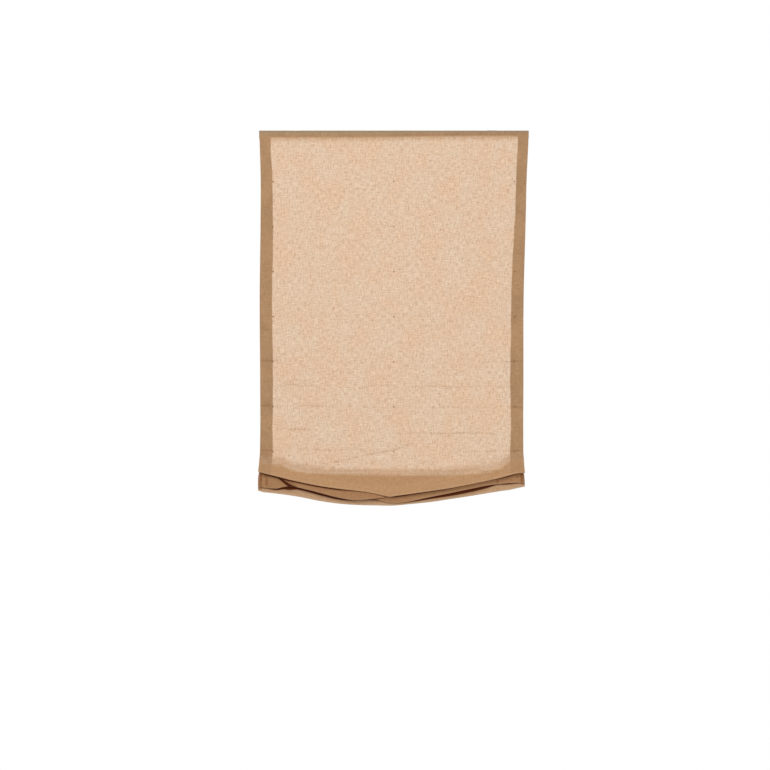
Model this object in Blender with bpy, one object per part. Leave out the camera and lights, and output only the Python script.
"""A relaxed Roman shade, partly raised, on a headrail with a spring-balanced lift.

Metres, +Z up, and the front of the cloth faces -Y. The origin is the middle of the flat top of the
headrail's front lip, so that every drop below the rail is a negative Z.
"""

import math

import bmesh
import bpy
import numpy as np
from mathutils import Vector

GAP = 0.0003

# Headrail: a channel that is open at the top, with a lip along each wall
RAIL_DEPTH = 0.040
RAIL_HEIGHT = 0.025
RAIL_WALL = 0.0012
RAIL_LIP = 0.006
CAP_PLATE = 0.003
CAP_PLUG = 0.006
CAP_CORNER = 0.002

# Snap-in brackets that hold the rail by its lips
BRACKET_WIDTH = 0.030
BRACKET_SHEET = 0.0012
BRACKET_HOOK = 0.0035
BRACKET_INSET = 0.125
BRACKET_HOLE_RADIUS = 0.0022
BRACKET_HOLE_PITCH = 0.016

# Hook-and-loop tape between the rail and the cloth
TAPE_THICKNESS = 0.001
TAPE_HEIGHT = 0.019
TAPE_DROP = 0.003

# Cloth: size when it hangs straight, and the thickness of one layer
CLOTH_WIDTH = 0.914
CLOTH_LENGTH = 1.626
CLOTH_THICKNESS = 0.001
SIDE_HEM = 0.038
HEM_POCKET = 0.035
WEIGHT_RADIUS = 0.003
POCKET_TURN_IN = 1.9
POCKET_TURN_RISE = 1.6

# Drops below the rail's top of the three folds and the hem, at nine even stations from left to right
FIRST_FOLD = (1.162, 1.195, 1.213, 1.225, 1.241, 1.222, 1.203, 1.183, 1.161)
SECOND_FOLD = (1.168, 1.211, 1.240, 1.254, 1.252, 1.221, 1.202, 1.182, 1.160)
THIRD_FOLD = (1.167, 1.209, 1.238, 1.253, 1.262, 1.248, 1.225, 1.202, 1.193)
HEM_EDGE = (1.222, 1.237, 1.256, 1.267, 1.271, 1.258, 1.241, 1.220, 1.200)
TURN_STEP = 0.010
FOLD_RAMP = 0.014
FRONT_RAMP = 0.016
FOLD_SPREAD = 0.0024
FOLD_SPREAD_DROP = 0.040
LAYER_ROOM = 0.0012
FRONT_GAP = 0.0020

# How far each side edge draws in, at these drops
EDGE_DROPS = (0.0, 0.30, 0.60, 0.90, 1.08, 1.16, 1.28)
LEFT_DRAW_IN = (0.0, 0.001, 0.003, 0.004, 0.002, -0.006, -0.005)
RIGHT_DRAW_IN = (0.0, 0.009, 0.017, 0.020, 0.016, 0.009, 0.008)

# Rings sewn to the back of the cloth, and the cords through them
COLUMN_INSET = 0.048
FIRST_RING = 0.1727
RING_PITCH = 0.1524
FLAT_ROWS = 7
RING_RADIUS = 0.0055
RING_WIRE = 0.001
CORD_RADIUS = 0.00065
CORD_BEHIND_CLOTH = 0.0074
ADJUSTER_HEIGHT = 0.014
ADJUSTER_BEVEL = 0.001
KNOT_RADIUS = 0.0022
KNOT_STEPS = (0.0, 0.5, 1.5, 2.2, 4.0)

# Lift shaft, its spools and the frames that carry them
SHAFT_FLATS = 0.005
DRUM_RADIUS = 0.0066
DRUM_LENGTH = 0.042
FLANGE_RADIUS = 0.0097
FLANGE_THICKNESS = 0.0015
JOURNAL_RADIUS = 0.0042
FRAME_WALL = 0.003
FRAME_BASE = 0.001
FRAME_RISE = 0.0075
NOTCH_MOUTH = 0.8
SPARE_TURNS = 1.0
TURN_PITCH = 0.00145
SLOT_DEPTH = 0.006
COLLAR_RADIUS = 0.006
COLLAR_LENGTH = 0.004

# Spring motor
MOTOR_X = 0.200
SPRING_WIDTH = 0.016
SPRING_STRIP = 0.0005
SPRING_PITCH = 0.001
SPRING_TURNS = 4
SPRING_WRAP = math.radians(288)
AXLE_SPACING = 0.0145
STORAGE_RADIUS = 0.003
STORAGE_JOURNAL = 0.002
OUTPUT_RADIUS = 0.0052

# Fineness
ROUND = 18
CORD_SIDES = 5
RING_SIDES = 8
POINTS_PER_TURN = 9
POINTS_PER_COIL = 16
POINTS_ON_WRAP = 12
COLUMNS_BETWEEN = 12

# Places that follow from the sizes
FRONT = -RAIL_LIP / 2
BACK = FRONT + RAIL_DEPTH
RAIL_LENGTH = CLOTH_WIDTH - 2 * (CAP_PLATE + GAP)
RAIL_FLOOR = RAIL_WALL - RAIL_HEIGHT
HOOK_BACK = FRONT - GAP
LOOP_BACK = HOOK_BACK - TAPE_THICKNESS - GAP
CLOTH_Y = LOOP_BACK - TAPE_THICKNESS - GAP - CLOTH_THICKNESS / 2
CLOTH_BACK = CLOTH_Y + CLOTH_THICKNESS / 2
HALF_WIDTH = CLOTH_WIDTH / 2
COLUMN_X = HALF_WIDTH - COLUMN_INSET
CORD_Y = CLOTH_BACK + CORD_BEHIND_CLOTH
WOUND_RADIUS = (DRUM_RADIUS + GAP + CORD_RADIUS) / math.cos(math.pi / POINTS_PER_TURN)
SHAFT_Y = CORD_Y + WOUND_RADIUS
SHAFT_Z = RAIL_FLOOR + GAP + FRAME_BASE + GAP + FLANGE_RADIUS
STORAGE_Y = SHAFT_Y + AXLE_SPACING
RAISED = CLOTH_LENGTH - (HEM_EDGE[0] + HEM_EDGE[-1]) / 2
WOUND_TURNS = RAISED / (2 * math.pi * WOUND_RADIUS) + SPARE_TURNS
COLUMNS = (("left", -COLUMN_X), ("centre", 0.0), ("right", COLUMN_X))


def material(name, colour, roughness, metallic=0.0):
    made = bpy.data.materials.new(name)
    made.use_nodes = True
    shader = made.node_tree.nodes["Principled BSDF"]
    shader.inputs["Base Color"].default_value = (*colour, 1.0)
    shader.inputs["Roughness"].default_value = roughness
    shader.inputs["Metallic"].default_value = metallic
    return made


def clear_scene():
    for old in list(bpy.data.objects):
        bpy.data.objects.remove(old)


def add_object(name, points, faces, finish, smooth=False):
    mesh = bpy.data.meshes.new(name)
    mesh.from_pydata([tuple(point) for point in points], [], faces)
    made = bmesh.new()
    made.from_mesh(mesh)
    bmesh.ops.recalc_face_normals(made, faces=made.faces)
    made.to_mesh(mesh)
    made.free()
    mesh.materials.append(finish)
    if smooth:
        mesh.shade_smooth()
        mesh.set_sharp_from_angle(angle=math.radians(40))
    obj = bpy.data.objects.new(name, mesh)
    bpy.context.collection.objects.link(obj)
    return obj


def loft(name, sections, finish, closed=False, smooth=False):
    """Sections of equal length, joined in turn; open ends are capped, or the last meets the first."""
    count = len(sections[0])
    points = [point for section in sections for point in section]
    spans = len(sections) if closed else len(sections) - 1
    faces = []
    for span in range(spans):
        here = span * count
        there = (span + 1) % len(sections) * count
        for i in range(count):
            j = (i + 1) % count
            faces.append((here + i, here + j, there + j, there + i))
    if not closed:
        faces.append(tuple(range(count)))
        faces.append(tuple(range(len(points) - count, len(points))))
    return add_object(name, points, faces, finish, smooth)


def extrude_along_x(name, outline, x_low, x_high, finish):
    """An outline of (y, z) points, extruded between two places along X."""
    sections = [[(x, y, z) for y, z in outline] for x in (x_low, x_high)]
    return loft(name, sections, finish)


def block(name, low, high, finish):
    outline = [(low[1], low[2]), (high[1], low[2]), (high[1], high[2]), (low[1], high[2])]
    return extrude_along_x(name, outline, low[0], high[0], finish)


def cut(target, cutter):
    """Takes the cutter out of the target and keeps it as a hidden helper."""
    cutter.hide_render = True
    cutter.display_type = "WIRE"
    boolean = target.modifiers.new(cutter.name, "BOOLEAN")
    boolean.operation = "DIFFERENCE"
    boolean.solver = "EXACT"
    boolean.object = cutter


def hexagon_radius(flats, angle):
    """Distance from the centre of a hexagon to its side, in the direction of the angle."""
    from_middle = (angle + math.pi / 6) % (math.pi / 3) - math.pi / 6
    return flats / 2 / math.cos(from_middle)


def turned(name, profile, centre_y, finish, bore_flats=None):
    """A profile of (x, radius) points turned about a line along X, with a hexagonal bore if one is given."""
    sections = []
    for step in range(ROUND):
        angle = 2 * math.pi * step / ROUND
        rim = list(profile)
        if bore_flats is not None:
            bore = hexagon_radius(bore_flats, angle)
            rim += [(profile[-1][0], bore), (profile[0][0], bore)]
        section = []
        for x, radius in rim:
            y = centre_y + radius * math.cos(angle)
            section.append((x, y, SHAFT_Z + radius * math.sin(angle)))
        sections.append(section)
    if bore_flats is not None:
        return loft(name, sections, finish, closed=True, smooth=True)
    ends = [[section[i] for section in sections] for i in range(len(profile))]
    return loft(name, ends, finish, smooth=True)


def tube(name, route, radii, sides, finish):
    """A round tube along a route of points, with a radius at each point."""
    route = [Vector(point) for point in route]
    across = Vector((1.0, 0.0, 0.0))
    sections = []
    for i, (point, radius) in enumerate(zip(route, radii)):
        along = (route[min(i + 1, len(route) - 1)] - route[max(i - 1, 0)]).normalized()
        across = (across - along * across.dot(along)).normalized()
        up = along.cross(across)
        angles = [2 * math.pi * side / sides for side in range(sides)]
        turns = [across * math.cos(angle) + up * math.sin(angle) for angle in angles]
        sections.append([point + turn * radius for turn in turns])
    return loft(name, sections, finish, smooth=True)


def smooth_step(value):
    value = min(max(value, 0.0), 1.0)
    return value * value * (3 - 2 * value)


def along_curve(places, values, place):
    """Value at a place, on a smooth curve through the values at the given places."""
    slopes = np.gradient(np.array(values), np.array(places))
    place = min(max(place, places[0]), places[-1])
    i = min(max(int(np.searchsorted(places, place)) - 1, 0), len(places) - 2)
    width = places[i + 1] - places[i]
    t = (place - places[i]) / width
    start = values[i] * (1 + 2 * t) * (1 - t) ** 2 + slopes[i] * width * t * (1 - t) ** 2
    end = values[i + 1] * t * t * (3 - 2 * t) + slopes[i + 1] * width * t * t * (t - 1)
    return float(start + end)


class Folds:
    """Heights and depths of the cloth's layers at one place across the shade."""

    def __init__(self, x):
        stations = np.linspace(-HALF_WIDTH, HALF_WIDTH, len(HEM_EDGE))
        drops = [along_curve(stations, fold, x) for fold in (FIRST_FOLD, SECOND_FOLD, THIRD_FOLD)]
        self.lower = drops
        self.hem = along_curve(stations, HEM_EDGE, x)
        rounding = 6 * FRONT_GAP + 3 * FOLD_SPREAD
        spare = 2 * sum(drops) + self.hem - (CLOTH_LENGTH - rounding)
        middle = spare / 6
        self.upper = [middle - TURN_STEP, middle, middle + TURN_STEP]
        self.turn = CLOTH_THICKNESS + FRONT_GAP

    def back_gap(self, drop):
        """Distance between the two legs of a fold, which grows towards its lower edge."""
        hems = 2 * (CLOTH_THICKNESS + GAP)
        spread = FOLD_SPREAD * smooth_step((drop - self.upper[2]) / FOLD_SPREAD_DROP)
        return CLOTH_THICKNESS + hems + LAYER_ROOM + spread

    def pushed(self, first, drop, ramp=FOLD_RAMP):
        """How far the folds from this one on push the layers in front of them forward."""
        one = self.turn + self.back_gap(drop)
        starts = [top - ramp for top in self.upper[first:]]
        return one * sum(smooth_step((drop - start) / ramp) for start in starts)

    def down_leg(self, fold, drop):
        return CLOTH_Y - self.pushed(fold, drop, FOLD_RAMP if fold else FRONT_RAMP)

    def up_leg(self, fold, drop):
        return CLOTH_Y - self.turn - self.pushed(fold + 1, drop)

    def lower_turn(self, fold):
        level = self.lower[fold] - self.back_gap(self.lower[fold]) / 2
        front = self.down_leg(fold, level)
        back = self.up_leg(fold, level)
        return arc((front + back) / 2, level, (back - front) / 2, 1, 5)

    def upper_turn(self, fold):
        level = self.upper[fold] + self.turn / 2
        front = self.up_leg(fold, level)
        back = self.down_leg(fold + 1, level)
        return arc((front + back) / 2, level, (back - front) / 2, -1, 4)


def arc(middle, level, radius, way, count):
    """Points of a half turn from front to back, below the level for way 1 and above it for way -1."""
    angles = np.linspace(0, math.pi, count)
    return [(middle - radius * math.cos(a), level + way * radius * math.sin(a)) for a in angles]


def leg(place, fold, start, end, count):
    """Points between two drops on one leg of a fold, without its ends."""
    drops = np.linspace(start, end, count + 2)[1:-1]
    return [(place(fold, drop), drop) for drop in drops]


def pocket_radius():
    return WEIGHT_RADIUS + GAP + CLOTH_THICKNESS + GAP + CLOTH_THICKNESS / 2


def cloth_profile(x):
    """The middle of the cloth at x, as (y, drop) points from the top edge to the end of the hem."""
    folds = Folds(x)
    ramp_start = folds.upper[0] - FRONT_RAMP
    points = [(CLOTH_Y, drop) for drop in np.linspace(0, ramp_start, 9)]
    points += leg(folds.down_leg, 0, ramp_start, folds.upper[2], 4)
    for fold in range(3):
        if fold == 0:
            start = folds.upper[2]
            points.append((folds.down_leg(0, start), start))
        else:
            start = folds.upper[fold - 1] + folds.turn / 2
        low = folds.lower_turn(fold)
        points += leg(folds.down_leg, fold, start, low[0][1], 3 if fold else 1)
        points += low
        high = folds.upper_turn(fold)
        points += leg(folds.up_leg, fold, low[-1][1], high[0][1], 3)
        points += high
    radius = pocket_radius()
    low = arc(CLOTH_Y + radius, folds.hem - radius, radius, 1, 7)
    points += leg(folds.down_leg, 3, points[-1][1], low[0][1], 2)
    points += low
    seam = CLOTH_Y + 2 * CLOTH_THICKNESS + 2 * (CLOTH_THICKNESS + GAP)
    bulge_top = folds.hem - 2 * radius - WEIGHT_RADIUS
    points.append((CLOTH_Y + POCKET_TURN_IN * radius, folds.hem - POCKET_TURN_RISE * radius))
    points.append((seam, bulge_top))
    points.append((seam, folds.hem - HEM_POCKET))
    return points


def edge_x(side, drop):
    draw_in = RIGHT_DRAW_IN if side > 0 else LEFT_DRAW_IN
    return side * (HALF_WIDTH - along_curve(EDGE_DROPS, draw_in, drop))


def cloth_x(x, drop):
    """Where a thread at x on the flat cloth hangs, at this drop."""
    left = edge_x(-1, drop)
    right = edge_x(1, drop)
    return left + (right - left) * (x + HALF_WIDTH) / CLOTH_WIDTH


def cloth_column(x):
    """The middle of the cloth at x, as points in space."""
    return np.array([(cloth_x(x, drop), y, -drop) for y, drop in cloth_profile(x)])


def cloth_normals(x):
    """Directions from the front of the cloth to its back, at each point of its column."""
    step = 0.002
    across = cloth_column(x + step) - cloth_column(x - step)
    down = np.gradient(cloth_column(x), axis=0)
    normals = np.cross(down, across)
    return normals / np.linalg.norm(normals, axis=1)[:, None]


def fabric_panel(finish):
    """One closed sheet: side hems turned to the back, three gathered folds and the hem pocket."""
    front = -CLOTH_THICKNESS / 2
    back = CLOTH_THICKNESS / 2
    hem_inside = back + GAP
    hem_outside = hem_inside + CLOTH_THICKNESS
    edge = HALF_WIDTH
    fold = edge - CLOTH_THICKNESS
    hem_end = edge - SIDE_HEM
    inner = [COLUMN_X * (2 * i / COLUMNS_BETWEEN - 1) for i in range(COLUMNS_BETWEEN + 1)]
    columns = [-fold] + inner + [fold]
    ring = [(-edge, front)] + [(x, front) for x in columns] + [(edge, front)]
    ring += [(edge, hem_outside), (fold, hem_outside), (hem_end, hem_outside)]
    ring += [(hem_end, hem_inside), (fold, hem_inside)]
    ring += [(x, back) for x in reversed(columns)]
    ring += [(-fold, hem_inside), (-hem_end, hem_inside)]
    ring += [(-hem_end, hem_outside), (-fold, hem_outside), (-edge, hem_outside)]
    places = sorted({x for x, _ in ring})
    middle = {x: cloth_column(x) for x in places}
    normal = {x: cloth_normals(x) for x in places}
    threads = [middle[x] + offset * normal[x] for x, offset in ring]
    rows = len(threads[0])
    count = len(ring)
    points = [thread[row] for row in range(rows) for thread in threads]
    faces = []
    for row in range(rows - 1):
        for i in range(count):
            j = (i + 1) % count
            faces.append((row * count + i, row * count + j, (row + 1) * count + j, (row + 1) * count + i))
    across = len(columns)
    right = across + 2
    for start in (0, (rows - 1) * count):
        for i in range(1, across):
            other = right + 5 + across - i
            faces.append(tuple(start + k for k in (i, i + 1, other - 1, other)))
        faces.append(tuple(start + k for k in (across, across + 1, right, right + 1, right + 4, right + 5)))
        faces.append(tuple(start + k for k in (right + 1, right + 2, right + 3, right + 4)))
        left = count - 5
        faces.append(tuple(start + k for k in (0, 1, left - 1, left, left + 3, left + 4)))
        faces.append(tuple(start + k for k in (left, left + 1, left + 2, left + 3)))
    return add_object("fabric_panel", points, faces, finish, smooth=True)


def hem_weight(finish):
    """A flexible weight along the pocket, which follows the sag of the hem."""
    radius = pocket_radius()
    route = []
    for x in np.linspace(-HALF_WIDTH + SIDE_HEM / 2, HALF_WIDTH - SIDE_HEM / 2, 15):
        drop = Folds(x).hem - radius
        route.append((cloth_x(x, drop), CLOTH_Y + radius, -drop))
    return tube("hem_weight", route, [WEIGHT_RADIUS] * len(route), 8, finish)


def ring_places(x):
    """Points on the back of the cloth where the rings of one column are sewn, from the top down."""
    folds = Folds(x)
    places = []
    for row in range(FLAT_ROWS):
        drop = FIRST_RING + row * RING_PITCH
        if drop < folds.upper[0] - FRONT_RAMP + RING_WIRE:
            places.append((CLOTH_BACK, drop))
    for fold in range(3):
        y, level = folds.upper_turn(fold)[-1]
        places.append((y + CLOTH_THICKNESS / 2 + GAP, level))
    return [(cloth_x(x, level), y, -level) for y, level in places]


def sewn_ring(name, place, finish):
    seat = GAP + (RING_RADIUS + RING_WIRE) * math.cos(math.pi / RING_SIDES)
    centre = Vector(place) + Vector((0.0, seat, 0.0))
    sections = []
    for step in range(RING_SIDES):
        turn = 2 * math.pi * (step + 0.5) / RING_SIDES
        out = Vector((math.cos(turn), math.sin(turn), 0.0))
        corners = []
        for side in range(4):
            around = 2 * math.pi * side / 4
            reach = RING_RADIUS + RING_WIRE * math.cos(around)
            corners.append(centre + out * reach + Vector((0.0, 0.0, RING_WIRE * math.sin(around))))
        sections.append(corners)
    return loft(name, sections, finish, closed=True, smooth=True)


def lift_cord(name, x, places, finish):
    """Wound on its spool, then down through the rings and the adjuster to a knot."""
    route = []
    steps = round(WOUND_TURNS * POINTS_PER_TURN)
    for step in range(-steps, 1):
        turn = 2 * math.pi * step / POINTS_PER_TURN
        y = SHAFT_Y - WOUND_RADIUS * math.cos(turn)
        z = SHAFT_Z - WOUND_RADIUS * math.sin(turn)
        route.append((x + TURN_PITCH * step / POINTS_PER_TURN, y, z))
    route += [(place[0], CORD_Y, place[2]) for place in places]
    radii = [CORD_RADIUS] * len(route)
    bottom = adjuster_top(places) - ADJUSTER_HEIGHT - GAP
    x = places[-1][0]
    route += [(x, CORD_Y, bottom - down * KNOT_RADIUS) for down in KNOT_STEPS]
    radii += [CORD_RADIUS, KNOT_RADIUS, KNOT_RADIUS, CORD_RADIUS, CORD_RADIUS]
    return tube(name, route, radii, CORD_SIDES, finish)


def adjuster_top(places):
    return places[-1][2] - RING_WIRE - GAP


def cord_adjuster(name, places, finish):
    """A bored bead under the lowest ring, which the cord's knot holds up."""
    top = adjuster_top(places)
    radius = CORD_Y - CLOTH_BACK - GAP
    bore = CORD_RADIUS + 2 * GAP
    shoulder = radius - ADJUSTER_BEVEL
    low = ADJUSTER_HEIGHT - ADJUSTER_BEVEL
    rim = ((bore, 0.0), (shoulder, 0.0), (radius, ADJUSTER_BEVEL), (radius, low))
    rim += ((shoulder, ADJUSTER_HEIGHT), (bore, ADJUSTER_HEIGHT))
    sections = []
    for turn in range(12):
        angle = 2 * math.pi * turn / 12
        out = Vector((math.cos(angle), math.sin(angle), 0.0))
        centre = Vector((places[-1][0], CORD_Y, top))
        sections.append([centre + out * reach - Vector((0.0, 0.0, down)) for reach, down in rim])
    return loft(name, sections, finish, closed=True, smooth=True)


def headrail(finish):
    lip_underside = -RAIL_WALL
    outline = [(FRONT, -RAIL_HEIGHT), (BACK, -RAIL_HEIGHT), (BACK, 0.0), (BACK - RAIL_LIP, 0.0)]
    outline += [(BACK - RAIL_LIP, lip_underside), (BACK - RAIL_WALL, lip_underside)]
    outline += [(BACK - RAIL_WALL, RAIL_FLOOR), (FRONT + RAIL_WALL, RAIL_FLOOR)]
    outline += [(FRONT + RAIL_WALL, lip_underside), (FRONT + RAIL_LIP, lip_underside)]
    outline += [(FRONT + RAIL_LIP, 0.0), (FRONT, 0.0)]
    rail = extrude_along_x("headrail", outline, -RAIL_LENGTH / 2, RAIL_LENGTH / 2, finish)
    for side, x in COLUMNS:
        cut(rail, cord_slot(f"rail_slot_{side}", x, -2 * RAIL_HEIGHT, finish))
    return rail


def cord_slot(name, x, bottom, finish):
    """A cutter for the opening that one cord drops through."""
    low = (x - SLOT_DEPTH, CORD_Y - SLOT_DEPTH / 2, bottom)
    high = (x + SLOT_DEPTH, CORD_Y + SLOT_DEPTH / 2, RAIL_FLOOR + GAP + 1.5 * FRAME_BASE)
    return block(name, low, high, finish)


def rounded_outline(low, high, corner):
    """A rectangle in (y, z) with rounded corners."""
    centres = [(high[0], high[1]), (low[0], high[1]), (low[0], low[1]), (high[0], low[1])]
    points = []
    for quarter, (y, z) in enumerate(centres):
        inward_y = -corner if y == high[0] else corner
        inward_z = -corner if z == high[1] else corner
        for part in range(4):
            angle = math.pi / 2 * (quarter + part / 3)
            round_y = corner * math.cos(angle)
            points.append((y + inward_y + round_y, z + inward_z + corner * math.sin(angle)))
    return points


def end_cap(name, side, finish):
    """A plate over the end of the rail, with a plug that fills the channel under the lips."""
    room = RAIL_WALL + GAP
    plate = rounded_outline((FRONT, -RAIL_HEIGHT), (BACK, 0.0), CAP_CORNER)
    plug = rounded_outline((FRONT + room, room - RAIL_HEIGHT), (BACK - room, -room), CAP_CORNER)
    rail_end = RAIL_LENGTH / 2 + GAP
    steps = ((plate, rail_end + CAP_PLATE), (plate, rail_end), (plug, rail_end), (plug, rail_end - CAP_PLUG))
    sections = [[(side * x, y, z) for y, z in outline] for outline, x in steps]
    return loft(name, sections, finish)


def bracket(name, x, finish):
    """A sheet-metal clip: a plate over the lips and a hook under each of them."""
    top = GAP + BRACKET_SHEET
    under = -RAIL_WALL - GAP
    hook = under - BRACKET_SHEET
    front = FRONT + RAIL_LIP + GAP
    back = BACK - RAIL_LIP - GAP
    sheet = BRACKET_SHEET
    outline = [(FRONT, GAP), (front, GAP), (front, under), (front - BRACKET_HOOK, under)]
    outline += [(front - BRACKET_HOOK, hook), (front + sheet, hook), (front + sheet, GAP)]
    outline += [(back - sheet, GAP), (back - sheet, hook), (back + BRACKET_HOOK, hook)]
    outline += [(back + BRACKET_HOOK, under), (back, under), (back, GAP), (BACK, GAP)]
    outline += [(BACK, top), (FRONT, top)]
    clip = extrude_along_x(name, outline, x - BRACKET_WIDTH / 2, x + BRACKET_WIDTH / 2, finish)
    for way in (-1, 1):
        centre = (x + way * BRACKET_HOLE_PITCH / 2, (FRONT + BACK) / 2)
        sections = []
        for z in (-RAIL_HEIGHT, RAIL_HEIGHT):
            angles = [2 * math.pi * i / 12 for i in range(12)]
            round_edge = [(math.cos(a), math.sin(a)) for a in angles]
            radius = BRACKET_HOLE_RADIUS
            sections.append([(centre[0] + radius * c, centre[1] + radius * s, z) for c, s in round_edge])
        cut(clip, loft(f"{name}_hole_{way + 1}", sections, finish))
    return clip


def tape(name, back, finish):
    reach = HALF_WIDTH - SIDE_HEM - 2 * TAPE_THICKNESS
    low = (-reach, back - TAPE_THICKNESS, -TAPE_DROP - TAPE_HEIGHT)
    return block(name, low, (reach, back, -TAPE_DROP), finish)


def spool_start(x):
    """Left end of the drum whose cord drops at x."""
    return x - WOUND_TURNS * TURN_PITCH - CORD_RADIUS - GAP


def spool(name, x, finish):
    left = spool_start(x)
    right = left + DRUM_LENGTH
    journal = FLANGE_THICKNESS + GAP + FRAME_WALL + GAP
    profile = [(left - journal, JOURNAL_RADIUS), (left - FLANGE_THICKNESS, JOURNAL_RADIUS)]
    profile += [(left - FLANGE_THICKNESS, FLANGE_RADIUS), (left, FLANGE_RADIUS), (left, DRUM_RADIUS)]
    profile += [(right, DRUM_RADIUS), (right, FLANGE_RADIUS), (right + FLANGE_THICKNESS, FLANGE_RADIUS)]
    profile += [(right + FLANGE_THICKNESS, JOURNAL_RADIUS), (right + journal, JOURNAL_RADIUS)]
    return turned(name, profile, SHAFT_Y, finish, SHAFT_FLATS + 2 * GAP)


def bearing_frame(name, inside_left, inside_right, bearings, finish):
    """A base on the rail's floor with two walls, each notched from above for the journals it carries."""
    base = RAIL_FLOOR + GAP
    top = SHAFT_Z + FRAME_RISE
    left = inside_left - FRAME_WALL
    right = inside_right + FRAME_WALL
    y_low = FRONT + RAIL_WALL + GAP
    y_high = BACK - RAIL_WALL - GAP
    outline = [(left, base), (right, base), (right, top), (inside_right, top)]
    outline += [(inside_right, base + FRAME_BASE), (inside_left, base + FRAME_BASE)]
    outline += [(inside_left, top), (left, top)]
    frame = loft(name, [[(x, y, z) for x, z in outline] for y in (y_low, y_high)], finish)
    for number, (y, journal) in enumerate(bearings):
        radius = journal + GAP
        mouth = NOTCH_MOUTH * radius
        start = math.acos(mouth / radius)
        angles = np.linspace(math.pi - start, 2 * math.pi + start, ROUND)
        notch = [(y + radius * math.cos(a), SHAFT_Z + radius * math.sin(a)) for a in angles]
        notch += [(y + mouth, 0.0), (y - mouth, 0.0)]
        ends = (left - FRAME_WALL, right + FRAME_WALL)
        cut(frame, extrude_along_x(f"{name}_notch_{number}", notch, ends[0], ends[1], finish))
    return frame


def spool_cradle(name, x, finish):
    clearance = FLANGE_THICKNESS + GAP
    left = spool_start(x) - clearance
    right = spool_start(x) + DRUM_LENGTH + clearance
    frame = bearing_frame(name, left, right, [(SHAFT_Y, JOURNAL_RADIUS)], finish)
    cut(frame, cord_slot(f"{name}_slot", x, -RAIL_HEIGHT, finish))
    return frame


def lift_shaft(finish):
    reach = RAIL_LENGTH / 2 - CAP_PLUG - 2 * GAP
    angles = [math.pi / 6 + math.pi / 3 * i for i in range(6)]
    corner = SHAFT_FLATS / 2 / math.cos(math.pi / 6)
    outline = [(SHAFT_Y + corner * math.cos(a), SHAFT_Z + corner * math.sin(a)) for a in angles]
    return extrude_along_x("lift_shaft", outline, -reach, reach, finish)


def shaft_collar(name, near, away, finish):
    """A collar on the shaft, just outside an end frame; away is -1 or 1 along X."""
    ends = sorted((near, near + away * COLLAR_LENGTH))
    profile = [(ends[0], COLLAR_RADIUS), (ends[1], COLLAR_RADIUS)]
    return turned(name, profile, SHAFT_Y, finish, SHAFT_FLATS + 2 * GAP)


def flat_ribbon(name, route, thickness, width_from, width_to, finish):
    """A strip that follows a route of (y, z) points, standing on edge along X."""
    route = np.array(route)
    along = np.gradient(route, axis=0)
    side = np.column_stack([-along[:, 1], along[:, 0]])
    side /= np.linalg.norm(side, axis=1)[:, None]
    sections = []
    for point, out in zip(route, side * thickness / 2):
        inner, outer = point - out, point + out
        corners = [(width_from, inner), (width_to, inner), (width_to, outer), (width_from, outer)]
        sections.append([(x, place[0], place[1]) for x, place in corners])
    return loft(name, sections, finish, smooth=True)


def power_spring(left, finish):
    """Coiled on the storage drum, across to the output drum the other way, and round most of it."""
    route = []
    half = SPRING_STRIP / 2
    first = STORAGE_RADIUS + GAP + 2 * half
    for step in range(SPRING_TURNS * POINTS_PER_COIL + 1):
        turn = step / POINTS_PER_COIL
        radius = first + SPRING_PITCH * turn
        angle = math.pi / 2 + 2 * math.pi * (SPRING_TURNS - turn)
        route.append((STORAGE_Y + radius * math.cos(angle), SHAFT_Z + radius * math.sin(angle)))
    radius = OUTPUT_RADIUS + GAP + 2 * half
    for step in range(POINTS_ON_WRAP + 1):
        angle = -math.pi / 3 - SPRING_WRAP * step / POINTS_ON_WRAP
        route.append((SHAFT_Y + radius * math.cos(angle), SHAFT_Z + radius * math.sin(angle)))
    return flat_ribbon("power_spring", route, SPRING_STRIP, left + GAP, left + GAP + SPRING_WIDTH, finish)


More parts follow.
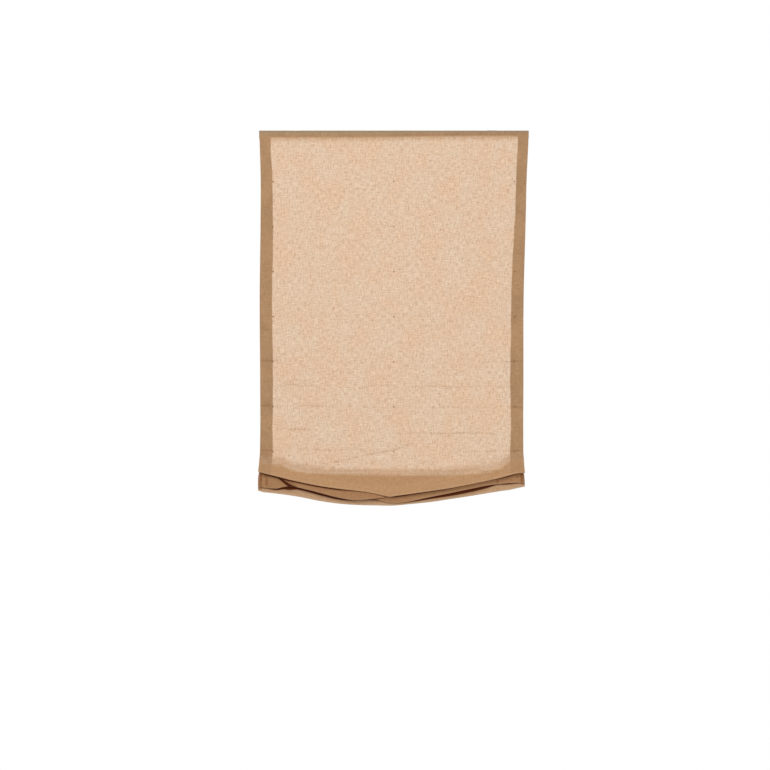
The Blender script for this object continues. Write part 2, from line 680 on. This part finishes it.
def spring_motor(plastic, metal, finish):
    """Output drum on the shaft, storage drum beside it, the spring between them and their frame."""
    left = MOTOR_X
    right = MOTOR_X + SPRING_WIDTH + 2 * GAP
    bearings = [(SHAFT_Y, JOURNAL_RADIUS), (STORAGE_Y, STORAGE_JOURNAL)]
    bearing_frame("motor_housing", left - GAP, right + GAP, bearings, plastic)
    ends = (left - GAP - FRAME_WALL - GAP, right + GAP + FRAME_WALL + GAP)
    drums = (("output_drum", JOURNAL_RADIUS, OUTPUT_RADIUS, SHAFT_Y, SHAFT_FLATS + 2 * GAP),)
    drums += (("storage_drum", STORAGE_JOURNAL, STORAGE_RADIUS, STORAGE_Y, None),)
    for name, journal, drum, y, bore in drums:
        profile = [(ends[0], journal), (left, journal), (left, drum), (right, drum)]
        profile += [(right, journal), (ends[1], journal)]
        turned(name, profile, y, finish, bore)
    power_spring(left, metal)


def build():
    clear_scene()
    cloth = material("linen cloth", (0.62, 0.40, 0.24), 0.9)
    enamel = material("white enamel", (0.80, 0.79, 0.76), 0.35, 0.3)
    plastic = material("white plastic", (0.78, 0.77, 0.74), 0.45)
    clear = material("clear plastic", (0.85, 0.84, 0.80), 0.25)
    steel = material("steel", (0.55, 0.55, 0.56), 0.3, 1.0)
    cord = material("cream cord", (0.76, 0.70, 0.60), 0.8)
    webbing = material("cream tape", (0.72, 0.66, 0.56), 0.95)
    lead = material("weight", (0.30, 0.30, 0.31), 0.7)

    headrail(enamel)
    end_cap("end_cap_left", -1, plastic)
    end_cap("end_cap_right", 1, plastic)
    bracket("bracket_left", BRACKET_INSET - HALF_WIDTH, steel)
    bracket("bracket_right", HALF_WIDTH - BRACKET_INSET, steel)
    tape("hook_tape", HOOK_BACK, webbing)
    tape("loop_tape", LOOP_BACK, webbing)
    fabric_panel(cloth)
    hem_weight(lead)
    lift_shaft(steel)
    journal_end = FLANGE_THICKNESS + GAP + FRAME_WALL + 2 * GAP
    near = spool_start(-COLUMN_X) - journal_end
    shaft_collar("shaft_collar_left", near, -1, plastic)
    near = spool_start(COLUMN_X) + DRUM_LENGTH + journal_end
    shaft_collar("shaft_collar_right", near, 1, plastic)
    for side, x in COLUMNS:
        places = ring_places(x)
        spool(f"cord_spool_{side}", x, plastic)
        spool_cradle(f"spool_cradle_{side}", x, plastic)
        lift_cord(f"lift_cord_{side}", x, places, cord)
        cord_adjuster(f"cord_adjuster_{side}", places, plastic)
        for number, place in enumerate(places, 1):
            sewn_ring(f"ring_{side}_{number:02d}", place, clear)
    spring_motor(plastic, steel, plastic)


build()
